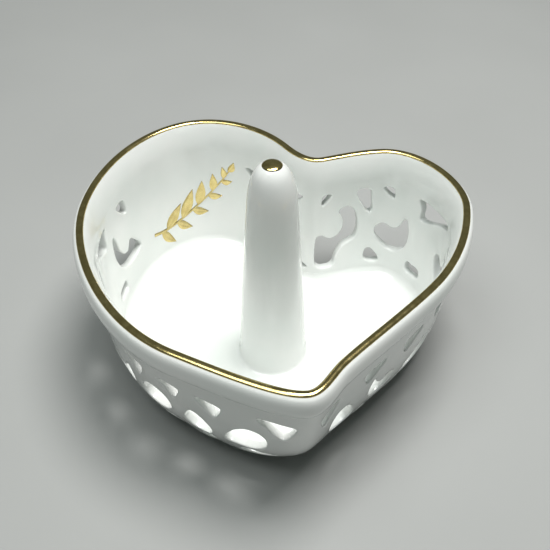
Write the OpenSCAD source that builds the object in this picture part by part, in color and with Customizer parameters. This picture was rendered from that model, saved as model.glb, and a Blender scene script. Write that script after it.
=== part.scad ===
// Heart-shaped porcelain ring dish: pierced wall, rolled gold-lined rim and a tall ring post.
// Millimetres, +Z up. The origin is on the table under the middle of the dish; the heart's tip is at -Y.

/* [Dish] */
// Width over the rolled rim, lobe to lobe
dish_w = 94; // [76:1:130]
// Height of the rim above the table
dish_h = 41; // [34:1:56]
// Thickness of the cast wall
wall_t = 2.2; // [1.8:0.1:2.8]
// Thickness of the dish floor
floor_t = 2.6; // [2:0.1:3.6]

/* [Rim] */
// How far the rolled lip stands out past its inner edge
lip_out = 2.8; // [2.2:0.1:3.4]
// Height of the rolled lip
lip_h = 7.5; // [6:0.1:9]
// Thickness of the fired gold
gold_t = 0.12; // [0.08:0.01:0.2]

/* [Foot] */
// Height of the unglazed foot ring
foot_h = 2; // [1.2:0.1:3]
// Width of the foot ring's standing edge
foot_w = 2.4; // [1.8:0.1:3.2]
// How far the foot ring stands in from the wall
foot_inset = 7; // [5.6:0.1:8.4]

/* [Ring post] */
// Height of the post above the dish floor
post_h = 58.5; // [44:0.5:70]
// Diameter of the post where it stands on the floor
post_d = 16.6; // [13:0.1:20]
// Wall thickness of the hollow post
post_wall = 2; // [1.6:0.1:2.6]
// Diameter of the vent hole under the post
vent_d = 5; // [3:0.5:7]
// Diameter of the gold cap on the post's tip
cap_d = 4.4; // [3:0.1:6]

/* [Hidden] */

WHITE = [0.93, 0.94, 0.92];
WARM_WHITE = [0.88, 0.87, 0.84];
GOLD = [0.80, 0.64, 0.28];

// Inner edge of the rim, a closed curve through knots: x, y, heading, reach before, reach after
RIM = [
    [6, -43.5, 6, 2.5, 2.5],
    [12.5, -36.5, 48, 3, 7],
    [33.5, -15, 50, 8.5, 9],
    [44, 10, 84, 9, 9],
    [27, 30.5, 184, 9.5, 6],
    [12, 27, 194, 3, 4.5],
    [2, 33, 126, 3.5, 6.5],
    [-15.5, 43.5, 174, 7.5, 16],
    [-44, 9, 268, 17.5, 14.5],
    [-19.7, -33.7, 334, 17, 5],
    [-4, -41, 338, 6, 4]
];

// Outside of the wall at its lowest, knot by knot: the same heart with a much rounder tip
BASE = [
    [2.5, -34.5, 6, 9, 5],
    [13.5, -27.5, 42, 4, 5],
    [29, -12.5, 48, 8, 7],
    [41, 8.5, 86, 8, 8],
    [26, 26.5, 184, 8.5, 5.5],
    [12, 23.5, 192, 3.5, 4],
    [1, 30, 128, 3.5, 6],
    [-15, 39.5, 175, 7.5, 14],
    [-41, 9, 269, 16, 12],
    [-23.5, -24, 326, 10, 6],
    [-14.5, -30, 338, 4, 4]
];

// Straight pieces used for each stretch of the curve
STEPS = [8, 9, 10, 13, 6, 8, 9, 18, 16, 6, 6];

// Width of RIM as drawn, and the depth of wall that WINDOWS is drawn for
RIM_W = 88;
WALL_DEPTH = 36;
// Heights of the wall's lowest cast level above the foot ring, and of the floor joint above that
BASE_RISE = 3;
JOINT_RISE = 1.7;

k = (dish_w - 2 * lip_out) / RIM_W;
base_z = foot_h + BASE_RISE;
k_z = (dish_h - base_z) / WALL_DEPTH;
wall_top = dish_h - lip_h;
joint_z = base_z + JOINT_RISE;
floor_top = foot_h + floor_t;
post_x = -0.6 * k;
post_y = -3 * k;

function mix(a, b, t) = a + (b - a) * t;
function dir(a) = [cos(a), sin(a)];
function bezier(p0, p1, p2, p3, t) =
    (1 - t) ^ 3 * p0 + 3 * (1 - t) ^ 2 * t * p1 + 3 * (1 - t) * t ^ 2 * p2 + t ^ 3 * p3;
function stretch(a, b, t) =
    bezier([a.x, a.y], [a.x, a.y] + a[4] * dir(a.z), [b.x, b.y] - b[3] * dir(b.z), [b.x, b.y], t);
function outline(knots) = [
    for (i = [0 : len(knots) - 1])
        for (j = [0 : STEPS[i] - 1])
            stretch(knots[i], knots[(i + 1) % len(knots)], j / STEPS[i])
];

// Both outlines are moved together so that the lip's box is centred on the origin
rim_raw = outline(RIM) * k;
N = len(rim_raw);
lip_raw = [for (i = [0 : N - 1])
    rim_raw[i] + lip_out * out_dir(rim_raw[(i + N - 1) % N], rim_raw[(i + 1) % N])];
lip_x = [for (p = lip_raw) p.x];
lip_y = [for (p = lip_raw) p.y];
middle = [(max(lip_x) + min(lip_x)) / 2, (max(lip_y) + min(lip_y)) / 2];
RIM_LINE = [for (p = rim_raw) p - middle];
BASE_LINE = [for (p = outline(BASE)) p * k - middle];

// Share of the way from the rim outline to the base outline, by height: slow at first, fast at the foot
EVEN_SHARE = 0.28;
FOOT_POWER = 3.4;
function fall(z) = max(0, min(1, (wall_top - z) / (wall_top - base_z)));
function lean(z) = EVEN_SHARE * fall(z) + (1 - EVEN_SHARE) * fall(z) ^ FOOT_POWER;
function out_dir(p, q) = [q.y - p.y, p.x - q.x] / norm(q - p);
// Outline at a share t between rim and base, moved outward by d
function section(t, d) =
    let (line = [for (i = [0 : N - 1]) mix(RIM_LINE[i], BASE_LINE[i], t)])
    [for (i = [0 : N - 1]) line[i] + d * out_dir(line[(i + N - 1) % N], line[(i + 1) % N])];
function ring(t, d, z) = [for (p = section(t, d)) [p.x, p.y, z]];

// Skin of a stack of rings; a tube closes on its first ring, a block is capped
function skin(m, wrap) = [
    for (r = [0 : m - (wrap ? 1 : 2)])
        for (i = [0 : N - 1])
            let (a = r * N, b = ((r + 1) % m) * N, j = (i + 1) % N)
            each [[a + i, b + i, b + j], [a + i, b + j, a + j]]
];
module tube(rings) {
    polyhedron([for (r = rings) each r], skin(len(rings), true), convexity = 12);
}
module block(rings) {
    m = len(rings);
    lids = [[for (i = [0 : N - 1]) i], [for (i = [N - 1 : -1 : 0]) (m - 1) * N + i]];
    polyhedron([for (r = rings) each r], concat(skin(m, false), lids), convexity = 12);
}

// Distance along the rim outline from the tip, for placing things round the wall
STEP_LENGTHS = [for (i = [0 : N - 1]) norm(RIM_LINE[(i + 1) % N] - RIM_LINE[i]) / k];
function run(i) = i == 0 ? [0] : let (r = run(i - 1)) concat(r, [r[i - 1] + STEP_LENGTHS[i - 1]]);
RUN = run(N);
function along(values, s) = lookup(s, [for (i = [0 : N]) [RUN[i], values[i % N]]]);
// Point on the wall at distance s round and depth z below the rim, d outward of the cast face
function level(z) = dish_h + z * k_z;
function wall_point(s, z, d) =
    let (line = section(lean(level(z)), d))
    [along([for (p = line) p.x], s), along([for (p = line) p.y], s), level(z)];

// Wall heights where the cast surface bends, from the lip down to the floor joint
WALL_SHARES = [0, 0.25, 0.45, 0.6, 0.72, 0.82, 0.91, 1];
wall_levels = [for (f = WALL_SHARES) mix(wall_top, joint_z, f)];
// Sideways shift of the cast outside face at height z, so the wall meets the lip
top_out = 0.3;
function top_shift(z) = top_out * (1 - fall(z));

// Underside of the floor in section: distance in from the wall's foot, height above the foot ring
UNDERSIDE = [[5.4, 0], [2.8, 0.25], [1, 1.3], [0.2, 2.6]];
// Cove inside: distance in from the wall's inside, share of the drop from the joint to the floor
COVE = [[0.35, 0.42], [0.8, 0.68], [1.8, 0.87], [3.4, 1]];

// Rolled lip in section, outside face first: shares of the lip's reach and height
ROLL = [
    [0.11, -0.98], [0.16, -0.95], [0.29, -0.92], [0.5, -0.89], [0.8, -0.78], [0.95, -0.62],
    [1, -0.42], [0.95, -0.22], [0.81, -0.08],
    [0.6, -0.01], [0.5, 0.02], [0.35, 0.04], [0.2, 0.035], [0.08, 0.02], [0, -0.02],
    [-0.2, -0.16], [-0.42, -0.38], [-0.58, -0.62], [-0.66, -0.84]
];
roll_section = concat(
    [[top_out, -lip_h]],
    [for (q = ROLL) [q.x * lip_out, q.y * lip_h]],
    [[top_out - wall_t, -lip_h]]
);
// Points of that section under the gold line, and the point that its thickness is measured away from
GOLD_FROM = 10;
GOLD_TO = 15;
gold_core = [0.3 * lip_out, -1.4];

// Pierced shapes in a unit box, seen from outside: x along the wall, y up
CRESCENT = [
    [-0.38, 0.5], [-0.5, 0.14], [-0.49, -0.2], [-0.33, -0.42], [-0.08, -0.5], [0.17, -0.43],
    [0.4, -0.2], [0.5, 0.02], [0.36, 0.15], [0.2, 0.19], [0.08, 0.11], [-0.08, 0.08],
    [-0.22, 0.18], [-0.28, 0.38]
];
SICKLE = [
    [-0.43, 0.5], [-0.5, 0.22], [-0.49, -0.07], [-0.37, -0.33], [-0.1, -0.49], [0.2, -0.5],
    [0.45, -0.43], [0.5, -0.34], [0.33, -0.15], [0.2, -0.01], [0.12, -0.07], [0.06, -0.19],
    [-0.06, -0.22], [-0.2, -0.12], [-0.3, 0.11], [-0.34, 0.38]
];
SCROLL = [
    [-0.13, 0.49], [0.03, 0.41], [-0.08, 0.34], [-0.15, 0.2], [-0.08, 0.05], [0.1, -0.04],
    [0.28, -0.02], [0.42, 0.08], [0.49, -0.04], [0.5, -0.37], [0.46, -0.51], [0.08, -0.51],
    [0.05, -0.38], [-0.04, -0.24], [-0.2, -0.16], [-0.38, -0.13], [-0.49, -0.05], [-0.5, 0.16],
    [-0.42, 0.38], [-0.28, 0.48]
];
HOOK = [[-0.5, 0.45], [0.5, 0.35], [0.36, 0.1], [0.38, -0.45], [0.15, -0.3], [-0.15, 0.05], [-0.4, 0.2]];
LEAF_DOWN = [[-0.31, 0.45], [0.47, 0.47], [0.31, 0.12], [-0.22, -0.49], [-0.45, -0.45], [-0.35, 0.12]];
WEDGE = [[-0.5, 0.45], [-0.2, 0.5], [0.45, 0.4], [0.5, 0.2], [0.35, -0.5], [0.2, -0.45]];
PEAK = [[0.3, 0.5], [0.5, 0.05], [0.35, -0.45], [-0.42, -0.5], [-0.5, -0.25], [-0.1, 0.15]];
NOTCHED = [[-0.45, -0.35], [-0.5, 0.2], [-0.25, 0.45], [0.1, 0.3], [0.45, 0.5], [0.5, -0.1], [0.35, -0.5]];
DOME = [
    [-0.5, -0.3], [-0.46, 0.12], [-0.28, 0.4], [0, 0.5], [0.3, 0.38], [0.47, 0.05],
    [0.5, -0.28], [0.28, -0.5], [-0.26, -0.5]
];
LENS = [
    [-0.35, 0.5], [-0.05, 0.3], [0.3, -0.05], [0.5, -0.4], [0.3, -0.5], [-0.2, -0.45],
    [-0.5, -0.1], [-0.45, 0.2]
];

// Every window: distance round, depth, shape, width (negative turns it over), height
WINDOWS = [
    [12.5, -25.5, DOME, -8.5, 10.5], [27, -24, CRESCENT, 9.5, 9.5], [41, -25, LENS, -10, 11],
    [54.5, -24, CRESCENT, 11, 11], [68.4, -21.4, CRESCENT, 10.6, 12], [91.5, -23.2, CRESCENT, 12, 12],
    [108, -23.5, SCROLL, 11.6, 18.7], [123, -22.6, CRESCENT, -12, 12],
    [182.6, -22, SICKLE, -13.5, 13.5], [210.5, -23, CRESCENT, -11, 12],
    [225.5, -24, CRESCENT, -11, 11], [239.4, -23, DOME, 10, 9.5], [252.8, -25.6, LENS, 10, 10.5],
    [265, -24, DOME, 9.5, 10.5],
    [8, -16.6, WEDGE, -7, 5.4], [23, -16, WEDGE, -7.5, 5.2], [36.5, -16, WEDGE, -7.5, 5.4],
    [49, -15, WEDGE, -7, 5.5], [60, -13.4, WEDGE, -7, 5.5], [76.9, -12.5, HOOK, 15.6, 8.2],
    [93.7, -11, LEAF_DOWN, 4.6, 3.6], [100.8, -13.5, LEAF_DOWN, 5.8, 8.6],
    [111.4, -11.2, LEAF_DOWN, -3, 3.6], [119, -12.4, WEDGE, 6, 5], [128.5, -12.6, WEDGE, -6, 5],
    [135.4, -12.6, LEAF_DOWN, 3.4, 3], [181, -11.8, LEAF_DOWN, 5.4, 4.8],
    [197.8, -12.4, HOOK, -14, 7.6], [218, -14.5, WEDGE, 7, 5.5], [233, -15, WEDGE, 6.5, 5],
    [243.6, -15.4, WEDGE, 6, 5], [253.6, -16.4, WEDGE, 7, 5.6], [269, -15.8, WEDGE, 9, 6.6],
    [20, -31.4, PEAK, 6, 3.4], [34, -31.5, PEAK, 6.5, 3.2], [47.6, -31.6, PEAK, 6.5, 3.2],
    [61, -31.6, PEAK, 6.5, 3.2], [81, -31.2, NOTCHED, 6.6, 3.6], [97, -30.8, PEAK, 5.6, 5],
    [118, -31.4, PEAK, 6, 3.4], [131, -31.4, PEAK, -6, 3.4], [191.5, -31.6, NOTCHED, -7, 3],
    [204, -31.6, PEAK, -6, 3.2], [218, -31.6, PEAK, -6.5, 3.2], [232, -31.6, PEAK, -6.5, 3.2],
    [245.5, -31.6, PEAK, -7, 3.2], [258.6, -31.6, PEAK, -6.5, 3.2], [270.4, -31.4, NOTCHED, 5.6, 3.4]
];

WINDOW_CORNER = 0.35;
// How far a cutter reaches past the wall on each side
CUTTER_REACH = 4;
// Half the span over which a cutter's sideways direction is taken
CUTTER_SPAN = 0.6;

// One window's cutter, standing square to the wall at its own spot
module window_cutter(w) {
    p = wall_point(w[0], w[1], 0);
    ahead = wall_point(w[0] + CUTTER_SPAN, w[1], 0) - wall_point(w[0] - CUTTER_SPAN, w[1], 0);
    above = wall_point(w[0], w[1] + 1, 0) - wall_point(w[0], w[1] - 1, 0);
    x = ahead / norm(ahead);
    y0 = above - (above * x) * x;
    y = y0 / norm(y0);
    z = cross(x, y);
    multmatrix([[x.x, y.x, z.x, p.x], [x.y, y.y, z.y, p.y], [x.z, y.z, z.z, p.z], [0, 0, 0, 1]])
        translate([0, 0, -wall_t - CUTTER_REACH])
            linear_extrude(wall_t + 2 * CUTTER_REACH)
                scale([k, k_z])
                    rounded_window(w[2], w[3], w[4]);
}
module rounded_window(shape, w, h) {
    r = WINDOW_CORNER;
    pts = [for (p = shape) [p.x * (w - sign(w) * 2 * r), p.y * (h - 2 * r)]];
    if (len(shape) < 9) {
        hull()
            for (p = pts)
                translate(p) circle(r, $fn = 10);
    } else {
        offset(r = r, $fn = 10)
            polygon(pts);
    }
}

module foot_ring() {
    color(WARM_WHITE)
        linear_extrude(foot_h)
            difference() {
                polygon(section(1, -foot_inset));
                polygon(section(1, -foot_inset - foot_w));
            }
}

module dish_floor() {
    under = [for (q = UNDERSIDE) ring(1, -q[0], foot_h + q[1])];
    edge = [for (d = [0, wall_t]) ring(lean(joint_z), top_shift(joint_z) - d, joint_z)];
    inside = [for (q = COVE) ring(1, -wall_t - q[0], mix(joint_z, floor_top, q[1]))];
    color(WHITE)
        difference() {
            block(concat(under, edge, inside));
            translate([post_x, post_y, foot_h - 1])
                cylinder(d = vent_d, h = floor_t + 2, $fn = 48);
        }
}

module pierced_wall() {
    outside = [for (i = [len(wall_levels) - 1 : -1 : 0]) let (z = wall_levels[i])
        ring(lean(z), top_shift(z), z)];
    inside = [for (z = wall_levels) ring(lean(z), top_shift(z) - wall_t, z)];
    color(WHITE)
        difference() {
            tube(concat(outside, inside));
            for (w = WINDOWS)
                window_cutter(w);
        }
}

module rim_roll() {
    color(WHITE)
        tube([for (q = roll_section) ring(0, q.x, dish_h + q.y)]);
}

module gold_rim_line() {
    bed = [for (i = [GOLD_FROM : GOLD_TO]) roll_section[i]];
    top = [for (i = [len(bed) - 1 : -1 : 0])
        let (away = bed[i] - gold_core) bed[i] + gold_t * away / norm(away)];
    color(GOLD)
        tube([for (q = concat(top, bed)) ring(0, q.x, dish_h + q.y)]);
}

// Inside face of the wall, as cast: one closed line for each wall height
INSIDE_LINES = [for (z = wall_levels) section(lean(z), top_shift(z) - wall_t)];
function on_line(line, s) = [along([for (p = line) p.x], s), along([for (p = line) p.y], s)];
// Point standing h off the inside face, at distance s round and depth z below the rim
function gilt_point(s, z, h) =
    let (
        i = len([for (v = wall_levels) if (v >= level(z)) v]) - 1,
        f = (wall_levels[i] - level(z)) / (wall_levels[i] - wall_levels[i + 1]),
        p = mix(on_line(INSIDE_LINES[i], s), on_line(INSIDE_LINES[i + 1], s), f),
        n = out_dir(on_line(INSIDE_LINES[i], s - 0.5), on_line(INSIDE_LINES[i], s + 0.5))
    )
    [p.x - h * n.x, p.y - h * n.y, level(z)];

// Thickness along the middle of a stroke, against its edges
CROWN = 1.6;
// A brushed patch of gold: rows of three points each, thickest along the middle
module gilt(rows) {
    m = len(rows);
    front = [for (r = rows) for (c = [0 : 2])
        gilt_point(r[c].x, r[c].y, gold_t * (c == 1 ? CROWN : 1))];
    back = [for (r = rows) for (c = [0 : 2]) gilt_point(r[c].x, r[c].y, 0)];
    b = 3 * m;
    face = [for (i = [0 : m - 2]) for (c = [0, 1]) let (a = 3 * i + c)
        each [[a, a + 3, a + 4], [a, a + 4, a + 1]]];
    rear = [for (f = face) [f.x + b, f.z + b, f.y + b]];
    loop = concat([for (i = [0 : m - 1]) 3 * i], [3 * m - 2], [for (i = [m - 1 : -1 : 0]) 3 * i + 2], [1]);
    sides = [for (i = [0 : len(loop) - 1]) let (p = loop[i], q = loop[(i + 1) % len(loop)])
        each [[p, p + b, q + b], [p, q + b, q]]];
    polyhedron(concat(front, back), concat(face, rear, sides));
}
// Half-width of a leaf at its ends
LEAF_TIP = 0.06;
// Leaf from its root at [s, z], along a heading, widest before the middle
module gilt_leaf(root, heading, length, width) {
    u = dir(heading);
    v = [-u.y, u.x];
    gilt([for (t = [0 : 0.125 : 1])
        let (c = root + t * length * u, half = LEAF_TIP + width * sin(180 * t ^ 0.75) / 2)
        [c - half * v, c, c + half * v]]);
}
module gilt_stem(p, width) {
    gilt([for (t = [0 : 0.0625 : 1])
        let (
            c = bezier(p[0], p[1], p[2], p[3], t),
            d = bezier(p[0], p[1], p[2], p[3], t + 0.01) - bezier(p[0], p[1], p[2], p[3], t - 0.01),
            half = mix(width, 0.4 * width, t) / 2,
            v = [-d.y, d.x] / norm(d)
        )
        [c - half * v, c, c + half * v]]);
}

// Sprig on the plain panel: stem curve and width, then each leaf's place on it, side, length and width
STEM = [[170, -28], [160, -31], [149, -24], [142.5, -14]];
STEM_W = 0.95;
LEAF_SPREAD = 42;
LEAVES = [
    [0.1, 1, 6.5, 2.6], [0.17, -1, 8.6, 3.2], [0.3, 1, 5.8, 2.5], [0.37, -1, 9.4, 3.4],
    [0.5, 1, 5.4, 2.4], [0.57, -1, 7.8, 3], [0.7, 1, 4.6, 2.1], [0.76, -1, 5.6, 2.4],
    [0.88, 1, 3.6, 1.7], [0.92, -1, 3.8, 1.8]
];
// Heading, length and width of the leaf at the stem's end
END_LEAF = [118, 3.8, 1.9];

module gold_sprig() {
    color(GOLD)
        union() {
            gilt_stem(STEM, STEM_W);
            for (l = LEAVES) {
                root = bezier(STEM[0], STEM[1], STEM[2], STEM[3], l[0]);
                ahead = bezier(STEM[0], STEM[1], STEM[2], STEM[3], l[0] + 0.02) - root;
                gilt_leaf(root, atan2(ahead.y, ahead.x) + l[1] * LEAF_SPREAD, l[2], l[3]);
            }
            gilt_leaf(STEM[3], END_LEAF[0], END_LEAF[1], END_LEAF[2]);
        }
}

// Half-width of the post by height: a slow taper, then a rounded finger end
POST = [
    [1.12, 0], [1.05, 0.005], [1.01, 0.016], [0.985, 0.045], [0.97, 0.12], [0.935, 0.24], [0.885, 0.36],
    [0.83, 0.48], [0.775, 0.6], [0.725, 0.72], [0.68, 0.81], [0.64, 0.87], [0.58, 0.915],
    [0.5, 0.95], [0.4, 0.975], [0.265, 0.992], [0.13, 0.9985]
];
// How much thicker the tip is than the rest of the hollow post
TIP_EXTRA = 0.4;
function post_profile(inset) =
    [for (q = POST) [max(0, q.x * post_d / 2 - inset), q.y * (post_h - inset)]];

module ring_post() {
    outer = post_profile(0);
    hollow = [for (q = post_profile(post_wall)) if (q.x > 0) q];
    color(WHITE)
        translate([post_x, post_y, floor_top])
            rotate_extrude($fn = 72)
                polygon(concat(
                    outer,
                    [[0, post_h], [0, post_h - post_wall - TIP_EXTRA]],
                    [for (i = [len(hollow) - 1 : -1 : 0]) hollow[i]]
                ));
}

// Skin of the post from its tip down, for laying the gold cap on it
post_skin = concat([[0, post_h]], [for (i = [len(POST) - 1 : -1 : 1]) post_profile(0)[i]]);
// Skin points nearer than this to the cap's edge are left out
EDGE_GAP = 0.05;

module post_gold_cap() {
    r = cap_d / 2;
    bed = concat([for (q = post_skin) if (q.x < r - EDGE_GAP) q], [[r, lookup(r, post_skin)]]);
    color(GOLD)
        translate([post_x, post_y, floor_top])
            rotate_extrude($fn = 72)
                polygon(concat(bed, [for (i = [len(bed) - 1 : -1 : 0]) bed[i] + [0, gold_t]]));
}

foot_ring();
dish_floor();
pierced_wall();
rim_roll();
gold_rim_line();
gold_sprig();
ring_post();
post_gold_cap();
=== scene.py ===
import math

import bmesh
import bpy
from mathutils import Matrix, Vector


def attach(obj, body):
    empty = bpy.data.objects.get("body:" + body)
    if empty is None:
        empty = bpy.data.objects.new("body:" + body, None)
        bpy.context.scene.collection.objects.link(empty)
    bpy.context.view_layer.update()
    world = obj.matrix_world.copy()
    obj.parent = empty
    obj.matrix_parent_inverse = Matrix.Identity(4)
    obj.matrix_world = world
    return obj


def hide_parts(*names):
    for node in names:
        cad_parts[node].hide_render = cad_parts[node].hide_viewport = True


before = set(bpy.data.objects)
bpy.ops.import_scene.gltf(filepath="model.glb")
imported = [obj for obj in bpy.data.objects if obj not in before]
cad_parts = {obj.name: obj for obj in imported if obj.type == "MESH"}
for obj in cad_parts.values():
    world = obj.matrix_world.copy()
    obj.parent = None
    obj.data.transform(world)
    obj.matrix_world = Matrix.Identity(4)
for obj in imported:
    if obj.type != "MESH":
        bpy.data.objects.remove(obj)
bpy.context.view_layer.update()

MM = 0.001

# ---------------------------------------------------------------- the dish's own shape, in millimetres
# Knots of the two outlines: x, y, heading, reach before, reach after
RIM = [
    (6, -43.5, 6, 2.5, 2.5),
    (12.5, -36.5, 48, 3, 7),
    (33.5, -15, 50, 8.5, 9),
    (44, 10, 84, 9, 9),
    (27, 30.5, 184, 9.5, 6),
    (12, 27, 194, 3, 4.5),
    (2, 33, 126, 3.5, 6.5),
    (-15.5, 43.5, 174, 7.5, 16),
    (-44, 9, 268, 17.5, 14.5),
    (-19.7, -33.7, 334, 17, 5),
    (-4, -41, 338, 6, 4),
]
BASE = [
    (2.5, -34.5, 6, 9, 5),
    (13.5, -27.5, 42, 4, 5),
    (29, -12.5, 48, 8, 7),
    (41, 8.5, 86, 8, 8),
    (26, 26.5, 184, 8.5, 5.5),
    (12, 23.5, 192, 3.5, 4),
    (1, 30, 128, 3.5, 6),
    (-15, 39.5, 175, 7.5, 14),
    (-41, 9, 269, 16, 12),
    (-23.5, -24, 326, 10, 6),
    (-14.5, -30, 338, 4, 4),
]
STEPS = (32, 40, 40, 52, 24, 32, 36, 72, 64, 24, 24)

# Width of RIM and depth of wall that the knots and windows are drawn for
RIM_W = 88
WALL_DEPTH = 36

DISH_W = 94
DISH_H = 41
WALL_T = 2.2
FLOOR_T = 2.6
LIP_OUT = 2.8
LIP_H = 7.5
TOP_OUT = 0.3
FOOT_H = 2
FOOT_W = 2.4
FOOT_INSET = 7
POST_H = 58.5
POST_R = 8.3
POST_WALL = 2
VENT_R = 2.5
CAP_R = 2.2
GILT = 0.1

# Heights of the wall's lowest cast level above the foot ring, and of the floor joint above that
BASE_RISE = 3
JOINT_RISE = 1.7
# How the wall leans in on its way down: a steady share, and the rest in a curve that is fastest at the foot
EVEN_SHARE = 0.28
FOOT_POWER = 3.4

SCALE = (DISH_W - 2 * LIP_OUT) / RIM_W
BASE_Z = FOOT_H + BASE_RISE
DEPTH_SCALE = (DISH_H - BASE_Z) / WALL_DEPTH
WALL_TOP = DISH_H - LIP_H
JOINT_Z = BASE_Z + JOINT_RISE
FLOOR_TOP = FOOT_H + FLOOR_T
POST_AT = Vector((-0.6 * SCALE, -3 * SCALE))


def heading(degrees):
    return Vector((math.cos(math.radians(degrees)), math.sin(math.radians(degrees))))


def bezier(p0, p1, p2, p3, t):
    u = 1 - t
    return u ** 3 * p0 + 3 * u * u * t * p1 + 3 * u * t * t * p2 + t ** 3 * p3


def outline(knots):
    """The closed curve through the knots, as points read at even steps of each stretch."""
    points = []
    for knot, after, steps in zip(knots, knots[1:] + knots[:1], STEPS):
        a, b = Vector(knot[:2]), Vector(after[:2])
        leaving = a + knot[4] * heading(knot[2])
        arriving = b - after[3] * heading(after[2])
        points += [SCALE * bezier(a, leaving, arriving, b, j / steps) for j in range(steps)]
    return points


def runs(line):
    """Direction of travel at each point of a closed line."""
    n = len(line)
    return [(line[(i + 1) % n] - line[i - 1]) for i in range(n)]


rim_line = outline(RIM)
base_line = outline(BASE)
AROUND = len(rim_line)
lip_edge = [p + LIP_OUT * Vector((r.y, -r.x)).normalized() for p, r in zip(rim_line, runs(rim_line))]
middle = Vector(
    (
        (max(p.x for p in lip_edge) + min(p.x for p in lip_edge)) / 2,
        (max(p.y for p in lip_edge) + min(p.y for p in lip_edge)) / 2,
    )
)
rim_line = [p - middle for p in rim_line]
base_line = [p - middle for p in base_line]
rim_runs = runs(rim_line)
base_runs = runs(base_line)
distance = [0.0]
for here, there in zip(rim_line, rim_line[1:] + rim_line[:1]):
    distance.append(distance[-1] + (there - here).length / SCALE)
GIRTH = distance[-1]


def fall(z):
    """How far down the wall a height is: 0 under the lip, 1 at the lowest cast level."""
    return max(0.0, min(1.0, (WALL_TOP - z) / (WALL_TOP - BASE_Z)))


def lean(z):
    """Share of the way from the rim outline to the base outline at a height."""
    return EVEN_SHARE * fall(z) + (1 - EVEN_SHARE) * fall(z) ** FOOT_POWER


def cast_point(i, share, out, z):
    """Point i of the outline that is a share of the way from rim to base, moved outward."""
    i %= AROUND
    p = rim_line[i].lerp(base_line[i], share)
    r = rim_runs[i].lerp(base_runs[i], share)
    return Vector((*(p + out * Vector((r.y, -r.x)).normalized()), z))


def ring(share, out, z):
    return [cast_point(i, share, out, z) for i in range(AROUND)]


def circle(radius, z):
    """A ring round the post's axis whose points face those of the outline."""
    points = []
    for p in base_line:
        side = (p - POST_AT).normalized() * radius
        points.append(Vector((POST_AT.x + side.x, POST_AT.y + side.y, z)))
    return points


def blend_rings(a, b, t):
    return [p.lerp(q, t) for p, q in zip(a, b)]


def wall_point(s, depth, out):
    """Point at distance s round the dish and depth below the rim, out from the cast outside face."""
    s %= GIRTH
    low, high = 0, AROUND
    while high - low > 1:
        half = (low + high) // 2
        if distance[half] <= s:
            low = half
        else:
            high = half
    part = (s - distance[low]) / (distance[high] - distance[low])
    z = DISH_H + depth * DEPTH_SCALE
    shift = TOP_OUT * (1 - fall(z))
    return cast_point(low, lean(z), out + shift, z).lerp(cast_point(high, lean(z), out + shift, z), part)


def passing(a, b, c, d, t):
    """One number on its way from b to c, with a before and d after."""
    bend = 2 * a - 5 * b + 4 * c - d
    twist = 3 * b - a - 3 * c + d
    return 0.5 * (2 * b + (c - a) * t + bend * t * t + twist * t ** 3)


def eased(points, steps):
    """A smooth run through hand-set points, each a tuple of numbers."""
    result = []
    for i in range(len(points) - 1):
        p0 = points[max(i - 1, 0)]
        p1, p2 = points[i], points[i + 1]
        p3 = points[min(i + 2, len(points) - 1)]
        for j in range(steps):
            result.append(tuple(passing(*four, j / steps) for four in zip(p0, p1, p2, p3)))
    result.append(tuple(points[-1]))
    return result


# ---------------------------------------------------------------- mesh helpers
# Corners nearer than this become one, in metres: on a hung grid, a spun piece and the bent wall
SAME_ON_GRID = 1e-7
SAME_ON_SPIN = 1e-6
SAME_ON_WALL = 3e-6
# The same in millimetres on the wall laid flat, and how near a cut it counts as on it
SAME_FLAT = 1e-4
ON_CUT = 1e-5


def finish_mesh(bm, name, material, sharp):
    """Turns a bmesh into a smooth-shaded piece that rides on the dish."""
    limit = math.radians(sharp)
    for face in bm.faces:
        face.smooth = True
    for edge in bm.edges:
        edge.smooth = not (len(edge.link_faces) == 2 and edge.calc_face_angle(0) > limit)
    mesh = bpy.data.meshes.new(name)
    bm.to_mesh(mesh)
    bm.free()
    piece = bpy.data.objects.new(name, mesh)
    bpy.context.scene.collection.objects.link(piece)
    mesh.materials.append(material)
    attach(piece, "root")
    return piece


def hung_grid(columns, rows, place, close_u=True):
    """A grid whose every corner is put where place(column, row) says, with its seams merged."""
    bm = bmesh.new()
    bmesh.ops.create_grid(bm, x_segments=columns, y_segments=rows, size=1)
    for v in bm.verts:
        c = round((v.co.x + 1) / 2 * columns)
        r = round((v.co.y + 1) / 2 * rows)
        v.co = place(c % columns if close_u else c, r % rows) * MM
    bmesh.ops.remove_doubles(bm, verts=bm.verts, dist=SAME_ON_GRID)
    bmesh.ops.recalc_face_normals(bm, faces=bm.faces)
    return bm


def hung_rings(rings):
    """A closed tube through the rings, back to the first."""
    return hung_grid(AROUND, len(rings), lambda c, r: rings[r][c])


# ---------------------------------------------------------------- finishes
class Value:
    """A node socket that can be used in ordinary sums."""

    def __init__(self, tree, socket):
        self.tree, self.socket = tree, socket

    def maths(self, operation, *values):
        return self.tree.add("ShaderNodeMath", {"operation": operation}, values)

    def __add__(self, other):
        return self.maths("ADD", self, other)

    __radd__ = __add__

    def __mul__(self, other):
        return self.maths("MULTIPLY", self, other)

    __rmul__ = __mul__


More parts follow.
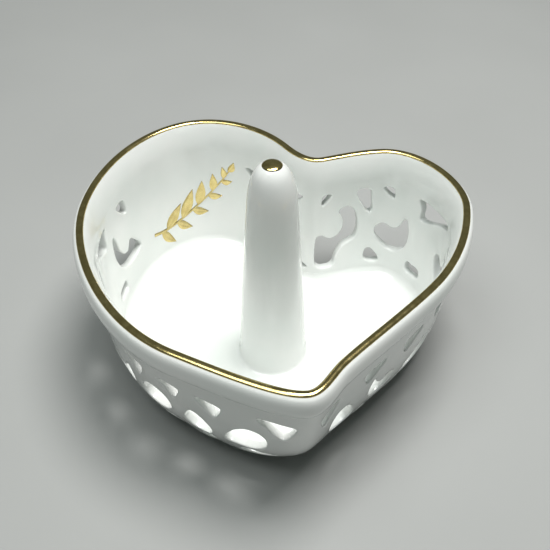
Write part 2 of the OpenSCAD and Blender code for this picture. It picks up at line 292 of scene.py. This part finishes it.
class Finish:
    """A procedural material and the few ways its nodes are added."""

    def __init__(self, name, **constants):
        self.material = bpy.data.materials.new(name)
        self.material.use_nodes = True
        self.nodes = self.material.node_tree.nodes
        self.links = self.material.node_tree.links
        self.surface = next(n for n in self.nodes if n.type == "BSDF_PRINCIPLED")
        for key, value in constants.items():
            self.surface.inputs[key.replace("_", " ")].default_value = value
        where = self.nodes.new("ShaderNodeTexCoord").outputs["Object"]
        self.place = Value(self, where)
        apart = self.add("ShaderNodeSeparateXYZ", {}, (self.place,))
        self.height = Value(self, apart.socket.node.outputs["Z"])

    def add(self, kind, settings, values, out=0):
        """Adds a node: its settings first, then each socket in order, by value or by link."""
        node = self.nodes.new(kind)
        for key, value in settings.items():
            if key == "stops":
                ramp = node.color_ramp
                while len(ramp.elements) < len(value):
                    ramp.elements.new(0.5)
                for element, (position, colour) in zip(ramp.elements, value):
                    element.position = position
                    element.color = colour
            else:
                setattr(node, key, value)
        pairs = values.items() if isinstance(values, dict) else enumerate(values)
        for key, value in pairs:
            if isinstance(value, Value):
                self.links.new(value.socket, node.inputs[key])
            elif value is not None:
                node.inputs[key].default_value = value
        return Value(self, node.outputs[out])

    def noise(self, size_mm, detail=2.0, rough=0.5):
        return self.add(
            "ShaderNodeTexNoise",
            {},
            {"Vector": self.place, "Scale": 1 / (size_mm * MM), "Detail": detail, "Roughness": rough},
        )

    def ramp(self, value, *stops):
        return self.add("ShaderNodeValToRGB", {"stops": stops}, (value,))

    def blend(self, mask, a, b):
        return self.add("ShaderNodeMix", {"data_type": "RGBA"}, {0: mask, 6: a, 7: b}, out=2)

    def bump(self, height, strength, distance_mm, under=None):
        values = {"Strength": strength, "Distance": distance_mm * MM, "Height": height}
        if under:
            values["Normal"] = under
        return self.add("ShaderNodeBump", {}, values)

    def feed(self, **sockets):
        for key, value in sockets.items():
            self.links.new(value.socket, self.surface.inputs[key.replace("_", " ")])
        return self.material


def glazed_porcelain():
    """White body under a clear gloss glaze, varied a little at random in tone; low in and under the dish it
    is painted darker and greener, as painted shade there along with some glaze pooling.
    """
    f = Finish(
        "glazed_porcelain",
        IOR=1.5,
        Coat_Roughness=0.03,
        Coat_IOR=1.52,
    )
    broad = f.noise(16, 3)
    fine = f.noise(1.1, 2)
    cool = f.ramp(broad, (0.35, (0.86, 0.885, 0.865, 1)), (0.65, (0.905, 0.91, 0.895, 1)))
    # Painted shade: below 12 mm the body turns darker and greener, standing for the shade low in and under
    # the dish, with some glaze pooling
    low = f.add("ShaderNodeMapRange", {}, (f.height, 0.002, 0.012, 1.0, 0.0))
    shade_and_pool_tint = f.blend(low * 0.35, cool, (0.80, 0.845, 0.82, 1))
    waves = f.bump(broad, 0.25, 0.25)
    peel = f.bump(fine, 0.06, 0.05, waves)
    return f.feed(
        Base_Color=shade_and_pool_tint,
        Roughness=f.noise(5, 2) * 0.06 + 0.07,
        Coat_Weight=broad * 0.2 + 0.35,
        Normal=peel,
    )


def bare_foot():
    """Unglazed biscuit, ground flat, with fine grit and a few rubbed marks."""
    f = Finish("bare_biscuit", IOR=1.5)
    grit = f.noise(0.25, 3, 0.7)
    marks = f.noise(4, 4, 0.6)
    tone = f.ramp(marks, (0.3, (0.70, 0.68, 0.64, 1)), (0.6, (0.84, 0.825, 0.79, 1)))
    return f.feed(Base_Color=tone, Roughness=grit * 0.2 + 0.65, Normal=f.bump(grit, 0.4, 0.05))


def fired_gold():
    """Polished gold brushed on by hand: slightly uneven in tone and thickness."""
    f = Finish("fired_gold", IOR=1.5)
    stroke = f.noise(1.6, 3, 0.6)
    broad = f.noise(9, 2)
    tone = f.ramp(stroke, (0.3, (0.54, 0.41, 0.15, 1)), (0.7, (0.76, 0.62, 0.29, 1)))
    worn = f.blend(broad * 0.3, tone, (0.66, 0.54, 0.26, 1))
    return f.feed(
        Base_Color=worn,
        Metallic=broad * 0.06 + 0.93,
        Roughness=stroke * 0.16 + 0.08,
        Normal=f.bump(stroke, 0.25, 0.06),
    )


porcelain = glazed_porcelain()
biscuit = bare_foot()
gold = fired_gold()


# ---------------------------------------------------------------- the rolled rim and its gold line
# Section of the lip, outside face first: shares of its reach and height
ROLL = [
    (0.11, -0.98), (0.16, -0.95), (0.29, -0.92), (0.5, -0.89), (0.8, -0.78), (0.95, -0.62),
    (1, -0.42), (0.95, -0.22), (0.81, -0.08), (0.6, -0.01), (0.5, 0.02), (0.35, 0.038),
    (0.2, 0.035), (0.08, 0.018), (0, -0.02), (-0.2, -0.16), (-0.42, -0.38), (-0.58, -0.62),
    (-0.66, -0.84),
]
roll_section = [(TOP_OUT, -LIP_H)]
roll_section += [(out * LIP_OUT, up * LIP_H) for out, up in ROLL]
roll_section += [(TOP_OUT - WALL_T, -LIP_H)]
ROLL_STEPS = 4
roll_curve = eased(roll_section, ROLL_STEPS)
# The gold lies between these points of the section, thins to a share at its edges and is bedded this deep
GOLD_FROM, GOLD_TO = 10, 15
EDGE_SHARE = 0.25
GOLD_SINK = 0.05


def rolled_rim():
    rings = [ring(0, out, DISH_H + up) for out, up in roll_curve]
    piece = finish_mesh(hung_rings(rings), "rolled_rim", porcelain, 60)
    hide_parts("rim_roll")


def gold_line():
    bed = roll_curve[GOLD_FROM * ROLL_STEPS : GOLD_TO * ROLL_STEPS + 1]
    top, under = [], []
    for i, (out, up) in enumerate(bed):
        before, after = bed[max(i - 1, 0)], bed[min(i + 1, len(bed) - 1)]
        way = Vector((after[0] - before[0], after[1] - before[1])).normalized()
        away = Vector((way.y, -way.x))
        thick = GILT * min(1, EDGE_SHARE + min(i, len(bed) - 1 - i) / 2)
        top.append((out + thick * away.x, up + thick * away.y))
        under.append((out - GOLD_SINK * away.x, up - GOLD_SINK * away.y))
    rings = [ring(0, out, DISH_H + up) for out, up in top + under[::-1]]
    piece = finish_mesh(hung_rings(rings), "gold_line", gold, 75)
    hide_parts("gold_rim_line")


# ---------------------------------------------------------------- the pierced wall
# Shapes in a unit box, seen from outside: x along the wall, y up
CRESCENT = [
    (-0.38, 0.5), (-0.5, 0.14), (-0.49, -0.2), (-0.33, -0.42), (-0.08, -0.5), (0.17, -0.43),
    (0.4, -0.2), (0.5, 0.02), (0.36, 0.15), (0.2, 0.19), (0.08, 0.11), (-0.08, 0.08),
    (-0.22, 0.18), (-0.28, 0.38),
]
SICKLE = [
    (-0.43, 0.5), (-0.5, 0.22), (-0.49, -0.07), (-0.37, -0.33), (-0.1, -0.49), (0.2, -0.5),
    (0.45, -0.43), (0.5, -0.34), (0.33, -0.15), (0.2, -0.01), (0.12, -0.07), (0.06, -0.19),
    (-0.06, -0.22), (-0.2, -0.12), (-0.3, 0.11), (-0.34, 0.38),
]
SCROLL = [
    (-0.13, 0.49), (0.03, 0.41), (-0.08, 0.34), (-0.15, 0.2), (-0.08, 0.05), (0.1, -0.04),
    (0.28, -0.02), (0.42, 0.08), (0.49, -0.04), (0.5, -0.37), (0.46, -0.51), (0.08, -0.51),
    (0.05, -0.38), (-0.04, -0.24), (-0.2, -0.16), (-0.38, -0.13), (-0.49, -0.05), (-0.5, 0.16),
    (-0.42, 0.38), (-0.28, 0.48),
]
HOOK = [(-0.5, 0.45), (0.5, 0.35), (0.36, 0.1), (0.38, -0.45), (0.15, -0.3), (-0.15, 0.05), (-0.4, 0.2)]
LEAF_DOWN = [(-0.31, 0.45), (0.47, 0.47), (0.31, 0.12), (-0.22, -0.49), (-0.45, -0.45), (-0.35, 0.12)]
WEDGE = [(-0.5, 0.45), (-0.2, 0.5), (0.45, 0.4), (0.5, 0.2), (0.35, -0.5), (0.2, -0.45)]
PEAK = [(0.3, 0.5), (0.5, 0.05), (0.35, -0.45), (-0.42, -0.5), (-0.5, -0.25), (-0.1, 0.15)]
NOTCHED = [(-0.45, -0.35), (-0.5, 0.2), (-0.25, 0.45), (0.1, 0.3), (0.45, 0.5), (0.5, -0.1), (0.35, -0.5)]
DOME = [
    (-0.5, -0.3), (-0.46, 0.12), (-0.28, 0.4), (0, 0.5), (0.3, 0.38), (0.47, 0.05),
    (0.5, -0.28), (0.28, -0.5), (-0.26, -0.5),
]
LENS = [
    (-0.35, 0.5), (-0.05, 0.3), (0.3, -0.05), (0.5, -0.4), (0.3, -0.5), (-0.2, -0.45),
    (-0.5, -0.1), (-0.45, 0.2),
]

# Distance round, depth below the rim, shape, width (negative turns it over), height
WINDOWS = [
    (12.5, -25.5, DOME, -8.5, 10.5), (27, -24, CRESCENT, 9.5, 9.5), (41, -25, LENS, -10, 11),
    (54.5, -24, CRESCENT, 11, 11), (68.4, -21.4, CRESCENT, 10.6, 12), (91.5, -23.2, CRESCENT, 12, 12),
    (108, -23.5, SCROLL, 11.6, 18.7), (123, -22.6, CRESCENT, -12, 12),
    (182.6, -22, SICKLE, -13.5, 13.5), (210.5, -23, CRESCENT, -11, 12),
    (225.5, -24, CRESCENT, -11, 11), (239.4, -23, DOME, 10, 9.5), (252.8, -25.6, LENS, 10, 10.5),
    (265, -24, DOME, 9.5, 10.5),
    (8, -16.6, WEDGE, -7, 5.4), (23, -16, WEDGE, -7.5, 5.2), (36.5, -16, WEDGE, -7.5, 5.4),
    (49, -15, WEDGE, -7, 5.5), (60, -13.4, WEDGE, -7, 5.5), (76.9, -12.5, HOOK, 15.6, 8.2),
    (93.7, -11, LEAF_DOWN, 4.6, 3.6), (100.8, -13.5, LEAF_DOWN, 5.8, 8.6),
    (111.4, -11.2, LEAF_DOWN, -3, 3.6), (119, -12.4, WEDGE, 6, 5), (128.5, -12.6, WEDGE, -6, 5),
    (135.4, -12.6, LEAF_DOWN, 3.4, 3), (181, -11.8, LEAF_DOWN, 5.4, 4.8),
    (197.8, -12.4, HOOK, -14, 7.6), (218, -14.5, WEDGE, 7, 5.5), (233, -15, WEDGE, 6.5, 5),
    (243.6, -15.4, WEDGE, 6, 5), (253.6, -16.4, WEDGE, 7, 5.6), (269, -15.8, WEDGE, 9, 6.6),
    (20, -31.4, PEAK, 6, 3.4), (34, -31.5, PEAK, 6.5, 3.2), (47.6, -31.6, PEAK, 6.5, 3.2),
    (61, -31.6, PEAK, 6.5, 3.2), (81, -31.2, NOTCHED, 6.6, 3.6), (97, -30.8, PEAK, 5.6, 5),
    (118, -31.4, PEAK, 6, 3.4), (131, -31.4, PEAK, -6, 3.4), (191.5, -31.6, NOTCHED, -7, 3),
    (204, -31.6, PEAK, -6, 3.2), (218, -31.6, PEAK, -6.5, 3.2), (232, -31.6, PEAK, -6.5, 3.2),
    (245.5, -31.6, PEAK, -7, 3.2), (258.6, -31.6, PEAK, -6.5, 3.2), (270.4, -31.4, NOTCHED, 5.6, 3.4),
]
# Glaze rounding of the cut edges, and how the knife's corners are softened before that
GLAZE_ROUND = 0.4
CORNER_CUTS = (0.95, 0.4, 0.16)
SHORTEST_EDGE = 0.2
# The sheet that the windows are cut from, larger all round than the wall that is kept
SHEET_LOW, SHEET_HIGH = -40, -2
SHEET_SPARE = 4
WALL_ROWS, WALL_COLUMNS = 18, 200


def cut_corners(points, most):
    """Each corner cut off, by at most so much and never more than about a third of an edge."""
    result = []
    n = len(points)
    for i in range(n):
        here = points[i]
        for other in (points[i - 1], points[(i + 1) % n]):
            edge = other - here
            result.append(here + edge * min(0.33, most / max(edge.length, 1e-6)))
    return result


def window_outline(s, depth, shape, width, height):
    points = [Vector((s + x * width, depth + y * height)) for x, y in shape]
    for most in CORNER_CUTS:
        points = cut_corners(points, most)
    kept = [points[0]]
    for p in points[1:]:
        if (p - kept[-1]).length > SHORTEST_EDGE:
            kept.append(p)
    if (kept[0] - kept[-1]).length < SHORTEST_EDGE:
        kept.pop()
    return kept


def flat_sheet():
    """The wall laid out flat: a sheet with its windows cut and their edges rounded by the glaze."""
    curve = bpy.data.curves.new("wall_laid_flat", "CURVE")
    curve.dimensions = "2D"
    curve.fill_mode = "BOTH"
    curve.bevel_depth = GLAZE_ROUND
    curve.bevel_resolution = 2
    curve.extrude = WALL_T / 2 - GLAZE_ROUND
    curve.offset = -GLAZE_ROUND
    left, right = -SHEET_SPARE, GIRTH + SHEET_SPARE
    border = [(left, SHEET_LOW), (right, SHEET_LOW), (right, SHEET_HIGH), (left, SHEET_HIGH)]
    for points in [[Vector(p) for p in border]] + [window_outline(*w) for w in WINDOWS]:
        spline = curve.splines.new("POLY")
        spline.points.add(len(points) - 1)
        for knot, p in zip(spline.points, points):
            knot.co = (p.x, p.y, 0, 1)
        spline.use_cyclic_u = True
    holder = bpy.data.objects.new("wall_laid_flat", curve)
    bpy.context.scene.collection.objects.link(holder)
    mesh = bpy.data.meshes.new_from_object(holder.evaluated_get(bpy.context.evaluated_depsgraph_get()))
    bm = bmesh.new()
    bm.from_mesh(mesh)
    bpy.data.objects.remove(holder)
    bpy.data.curves.remove(curve)
    bpy.data.meshes.remove(mesh)
    bmesh.ops.remove_doubles(bm, verts=bm.verts, dist=SAME_FLAT)
    return bm


def slice_sheet(bm, at, across, faces=None, **drop):
    """Cuts through the sheet along one straight line, or only through some of its faces."""
    faces = bm.faces[:] if faces is None else faces
    edges = dict.fromkeys(e for f in faces for e in f.edges)
    verts = dict.fromkeys(v for f in faces for v in f.verts)
    parts = [*verts, *edges, *faces]
    return bmesh.ops.bisect_plane(bm, geom=parts, dist=ON_CUT, plane_co=at, plane_no=across, **drop)


def open_edges(bm):
    return [e for e in bm.edges if len(e.link_faces) == 1]


def match_ends(bm):
    """Gives both ends of the sheet corners at the same heights, so that they close when it is bent round."""
    heights = sorted({round(v.co.y, 3) for e in open_edges(bm) for v in e.verts})
    width = GIRTH / WALL_COLUMNS
    for y in heights:
        near = [
            f
            for f in bm.faces
            if not width <= f.calc_center_median().x <= GIRTH - width
            and min(v.co.y for v in f.verts) < y - SAME_FLAT
            and max(v.co.y for v in f.verts) > y + SAME_FLAT
        ]
        if near:
            slice_sheet(bm, (0, y, 0), (0, 1, 0), near)


def pierced_wall():
    bm = flat_sheet()
    flat = [e for e in bm.edges if all(abs(abs(v.co.z) - WALL_T / 2) < SAME_FLAT for v in e.verts)]
    bmesh.ops.dissolve_limit(bm, angle_limit=0.01, verts=[], edges=flat, delimit={"NORMAL"})
    bottom = (JOINT_Z - DISH_H) / DEPTH_SCALE
    top = (WALL_TOP - DISH_H) / DEPTH_SCALE
    slice_sheet(bm, (0, bottom, 0), (0, 1, 0), clear_inner=True)
    slice_sheet(bm, (0, top, 0), (0, 1, 0), clear_outer=True)
    bmesh.ops.holes_fill(bm, edges=open_edges(bm), sides=0)
    slice_sheet(bm, (0, 0, 0), (1, 0, 0), clear_inner=True)
    slice_sheet(bm, (GIRTH, 0, 0), (1, 0, 0), clear_outer=True)
    for j in range(1, WALL_ROWS):
        slice_sheet(bm, (0, bottom + (top - bottom) * j / WALL_ROWS, 0), (0, 1, 0))
    for j in range(1, WALL_COLUMNS):
        at = GIRTH * j / WALL_COLUMNS
        near = [f for f in bm.faces if max(v.co.x for v in f.verts) > at > min(v.co.x for v in f.verts)]
        slice_sheet(bm, (at, 0, 0), (1, 0, 0), near)
    match_ends(bm)
    for v in bm.verts:
        v.co = wall_point(v.co.x, v.co.y, v.co.z - WALL_T / 2) * MM
    bmesh.ops.remove_doubles(bm, verts=bm.verts, dist=SAME_ON_WALL)
    bmesh.ops.recalc_face_normals(bm, faces=bm.faces)
    piece = finish_mesh(bm, "pierced_porcelain_wall", porcelain, 60)
    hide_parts("pierced_wall")


# ---------------------------------------------------------------- floor, foot and post
UNDER_STEPS, COVE_STEPS = 3, 4
UNDER_ROWS, FLOOR_ROWS = 8, 14


def dish_floor():
    """From the vent hole out along the underside, up to the joint, down the cove and back over the floor."""
    share, shift = lean(JOINT_Z), TOP_OUT * (1 - fall(JOINT_Z))
    under = eased(
        [
            (1, -5.4, FOOT_H),
            (1, -4.2, FOOT_H + 0.04),
            (1, -2.8, FOOT_H + 0.28),
            (1, -1.7, FOOT_H + 0.75),
            (1, -1, FOOT_H + 1.3),
            (1, -0.45, FOOT_H + 2.1),
            (share, shift, JOINT_Z),
        ],
        UNDER_STEPS,
    )
    inside = eased(
        [
            (share, shift - WALL_T, JOINT_Z),
            (0.9, -WALL_T - 0.02, FLOOR_TOP + 1.65),
            (0.96, -WALL_T - 0.26, FLOOR_TOP + 1.15),
            (1, -WALL_T - 0.8, FLOOR_TOP + 0.68),
            (1, -WALL_T - 1.8, FLOOR_TOP + 0.3),
            (1, -WALL_T - 3.2, FLOOR_TOP + 0.07),
            (1, -WALL_T - 4.8, FLOOR_TOP),
        ],
        COVE_STEPS,
    )
    outer_rings = [ring(*r) for r in under]
    inner_rings = [ring(*r) for r in inside]
    mouth_low, mouth_top = circle(VENT_R, FOOT_H), circle(VENT_R, FLOOR_TOP)
    rings = [blend_rings(mouth_low, outer_rings[0], j / UNDER_ROWS) for j in range(UNDER_ROWS)]
    rings += outer_rings + inner_rings
    rings += [blend_rings(inner_rings[-1], mouth_top, (j + 1) / FLOOR_ROWS) for j in range(FLOOR_ROWS)]
    piece = finish_mesh(hung_rings(rings), "porcelain_floor", porcelain, 60)
    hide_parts("dish_floor")


# Worn edge of the foot ring: distance in from its side, height above the table
FOOT_EDGE = [(0, 0.5), (0.06, 0.22), (0.22, 0.05), (0.5, 0)]


def foot_ring():
    near, far = -FOOT_INSET, -FOOT_INSET - FOOT_W
    section = [(near, FOOT_H)] + [(near - x, z) for x, z in FOOT_EDGE]
    section += [(far + x, z) for x, z in FOOT_EDGE[::-1]] + [(far, FOOT_H)]
    piece = finish_mesh(hung_rings([ring(1, out, z) for out, z in section]), "biscuit_foot", biscuit, 50)
    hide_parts("foot_ring")


# Half-width of the post by height, in shares: a slow taper, then a rounded finger end
POST = [
    (1.12, 0), (1.05, 0.005), (1.01, 0.016), (0.985, 0.045), (0.97, 0.12), (0.935, 0.24), (0.885, 0.36),
    (0.83, 0.48), (0.775, 0.6), (0.725, 0.72), (0.68, 0.81), (0.64, 0.87), (0.58, 0.915),
    (0.5, 0.95), (0.4, 0.975), (0.265, 0.992), (0.13, 0.9985), (0, 1),
]
POST_STEPS, POST_AROUND = 5, 128
post_skin = eased([(r * POST_R, z * POST_H) for r, z in POST], POST_STEPS)
# The gold spot thins out over this much at its edge, and its bed lies this deep in the glaze
CAP_FADE = 0.35
CAP_SINK = 0.04


def spun(profile, name, material, sharp):
    """A profile of radius and height turned once round the post's axis."""
    bm = bmesh.new()
    verts = [bm.verts.new(Vector((POST_AT.x + r, POST_AT.y, FLOOR_TOP + z)) * MM) for r, z in profile]
    edges = [bm.edges.new(pair) for pair in zip(verts, verts[1:])]
    bmesh.ops.spin(
        bm,
        geom=verts + edges,
        cent=Vector((*POST_AT, 0)) * MM,
        axis=(0, 0, 1),
        angle=math.tau,
        steps=POST_AROUND,
        use_merge=True,
    )
    bmesh.ops.remove_doubles(bm, verts=bm.verts, dist=SAME_ON_SPIN)
    bmesh.ops.recalc_face_normals(bm, faces=bm.faces)
    return finish_mesh(bm, name, material, sharp)


def ring_post():
    inside = [(r, z) for r, z in post_skin if r > POST_WALL]
    hollow = [(r - POST_WALL, z * (POST_H - POST_WALL) / POST_H) for r, z in inside]
    hollow.append((0, hollow[-1][1]))
    profile = [(0, POST_H)] + post_skin[-2::-1] + hollow
    piece = spun(profile, "ring_finger_post", porcelain, 60)
    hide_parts("ring_post")


def gold_cap():
    skin = [(r, z) for r, z in post_skin if r < CAP_R][::-1]
    skin[0] = (0, POST_H)
    under = [(r, z - CAP_SINK) for r, z in skin]
    top = [(r, z + GILT * min(1, (CAP_R - r) / CAP_FADE)) for r, z in skin]
    piece = spun(under + top[::-1], "gold_tip", gold, 75)
    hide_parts("post_gold_cap")


# ---------------------------------------------------------------- the gold sprig on the plain panel
STEM = [Vector(p) for p in ((170, -28), (160, -31), (149, -24), (142.5, -14))]
STEM_W, STEM_TAPER = 0.95, 0.55
# Each leaf's place on the stem, side, length and width
LEAVES = [
    (0.1, 1, 6.5, 2.6), (0.17, -1, 8.6, 3.2), (0.3, 1, 5.8, 2.5), (0.37, -1, 9.4, 3.4),
    (0.5, 1, 5.4, 2.4), (0.57, -1, 7.8, 3), (0.7, 1, 4.6, 2.1), (0.76, -1, 5.6, 2.4),
    (0.88, 1, 3.6, 1.7), (0.92, -1, 3.8, 1.8),
]
# Angle between the stem and its leaves; heading, length and width of the leaf at the stem's end
LEAF_SPREAD = 42
END_LEAF = (118, 3.8, 1.9)
LEAF_BOW = 0.35
LEAF_TIP = 0.05
LEAF_STEPS, STEM_STEPS = 28, 60
# A stroke stands this high at its edge, this much higher in the middle, less the vein; its back is sunk
EDGE_LIFT = 0.03
DOME_LIFT = 0.13
VEIN_DEPTH = 0.07
STROKE_SINK = 0.06
STROKE_ROWS = 8


def gilded(strokes):
    whole = bmesh.new()
    for part in strokes:
        mesh = bpy.data.meshes.new("stroke")
        part.to_mesh(mesh)
        part.free()
        whole.from_mesh(mesh)
        bpy.data.meshes.remove(mesh)
    piece = finish_mesh(whole, "gold_leaf_sprig", gold, 75)
    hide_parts("gold_sprig")


def stroke(middle_at, half_at, length_steps, vein):
    """One brush stroke of gold: domed across, closed on the wall side."""

    def place(c, r):
        t = c / length_steps
        front = r <= STROKE_ROWS
        v = (r if front else 2 * STROKE_ROWS - r) / STROKE_ROWS * 2 - 1
        at, way = middle_at(t)
        at = at + Vector((-way.y, way.x)) * half_at(t) * v
        dome = 1 - v * v
        lift = EDGE_LIFT + DOME_LIFT * dome ** 0.6 - vein * VEIN_DEPTH * max(0, 1 - abs(v) * 4)
        return wall_point(at.x, at.y, -WALL_T - (lift if front else -STROKE_SINK))

    bm = hung_grid(length_steps, 2 * STROKE_ROWS, place, close_u=False)
    bmesh.ops.holes_fill(bm, edges=open_edges(bm), sides=0)
    bmesh.ops.recalc_face_normals(bm, faces=bm.faces)
    return bm


def sprig():
    def stem_at(t):
        way = bezier(*STEM, t + 0.01) - bezier(*STEM, t - 0.01)
        return bezier(*STEM, t), way.normalized()

    def leaf(root, angle, length, width):
        way = heading(angle)
        bow = Vector((-way.y, way.x)) * LEAF_BOW
        return stroke(
            lambda t: (root + way * length * t + bow * math.sin(math.pi * t), way),
            lambda t: LEAF_TIP + width / 2 * math.sin(math.pi * t ** 0.75),
            LEAF_STEPS,
            vein=1,
        )

    strokes = [stroke(stem_at, lambda t: (STEM_W - STEM_TAPER * t) / 2, STEM_STEPS, vein=0)]
    for t, side, length, width in LEAVES:
        root, way = stem_at(t)
        angle = math.degrees(math.atan2(way.y, way.x)) + side * LEAF_SPREAD
        strokes.append(leaf(root, angle, length, width))
    strokes.append(leaf(STEM[3], *END_LEAF))
    gilded(strokes)


rolled_rim()
gold_line()
pierced_wall()
dish_floor()
foot_ring()
ring_post()
gold_cap()
sprig()


# ---------------------------------------------------------------- stage, light and camera
TABLE_HALF = 3
LIT_SPOT = Vector((0, 0, 0.02))
# Softboxes in metres and watts: name, place, width, power, colour
SOFTBOXES = [
    ("key", (0.11, 0.04, 0.6), 0.28, 3.3, (1.0, 0.995, 0.97)),
    ("fill", (-0.13, -0.09, 0.62), 0.36, 1.3, (0.95, 1.0, 0.98)),
    ("front", (0.35, -0.6, 0.25), 0.4, 0.03, (1.0, 0.98, 0.95)),
]
ROOM_COLOUR = (0.76, 0.90, 0.83, 1)
ROOM_STRENGTH = 0.1

# The camera looks down at this angle, from this far, at a spot in the rim's plane; both in RIM's millimetres
VIEW_ANGLE = math.radians(45)
VIEW_REACH = 170.93
VIEW_SPOT_Y = -13
SENSOR = 36
LENS_LENGTH = 52.364


def add_to_scene(name, data):
    thing = bpy.data.objects.new(name, data)
    bpy.context.scene.collection.objects.link(thing)
    return thing


def pale_table():
    mesh = bpy.data.meshes.new("pale_table")
    bm = bmesh.new()
    bmesh.ops.create_grid(bm, x_segments=1, y_segments=1, size=TABLE_HALF)
    bm.to_mesh(mesh)
    bm.free()
    paper = Finish("pale_paper", Specular_IOR_Level=0.2)
    grain = paper.noise(60, 2)
    tone = paper.ramp(grain, (0.2, (0.40, 0.405, 0.40, 1)), (0.8, (0.43, 0.435, 0.43, 1)))
    mesh.materials.append(paper.feed(Base_Color=tone, Roughness=grain * 0.1 + 0.75))
    add_to_scene("pale_table", mesh)


def room_light():
    world = bpy.data.worlds.new("soft_room")
    world.use_nodes = True
    background = world.node_tree.nodes["Background"]
    background.inputs["Color"].default_value = ROOM_COLOUR
    background.inputs["Strength"].default_value = ROOM_STRENGTH
    bpy.context.scene.world = world


def softbox(name, at, width, power, colour):
    light = bpy.data.lights.new(name, "AREA")
    light.shape = "DISK"
    light.size = width
    light.energy = power
    light.color = colour
    lamp = add_to_scene(name, light)
    lamp.location = at
    lamp.rotation_euler = (Vector(at) - LIT_SPOT).to_track_quat("Z", "Y").to_euler()


def set_camera():
    data = bpy.data.cameras.new("camera")
    data.sensor_width = SENSOR
    data.lens = LENS_LENGTH
    data.clip_start = 0.01
    camera = add_to_scene("camera", data)
    spot = Vector((-middle.x, VIEW_SPOT_Y * SCALE - middle.y, DISH_H)) * MM
    back = Vector((0, -math.cos(VIEW_ANGLE), math.sin(VIEW_ANGLE)))
    camera.location = spot + VIEW_REACH * SCALE * MM * back
    camera.rotation_euler = (math.pi / 2 - VIEW_ANGLE, 0, 0)
    bpy.context.scene.camera = camera
    bpy.context.scene.view_settings.view_transform = "Standard"


pale_table()
room_light()
for box in SOFTBOXES:
    softbox(*box)
set_camera()
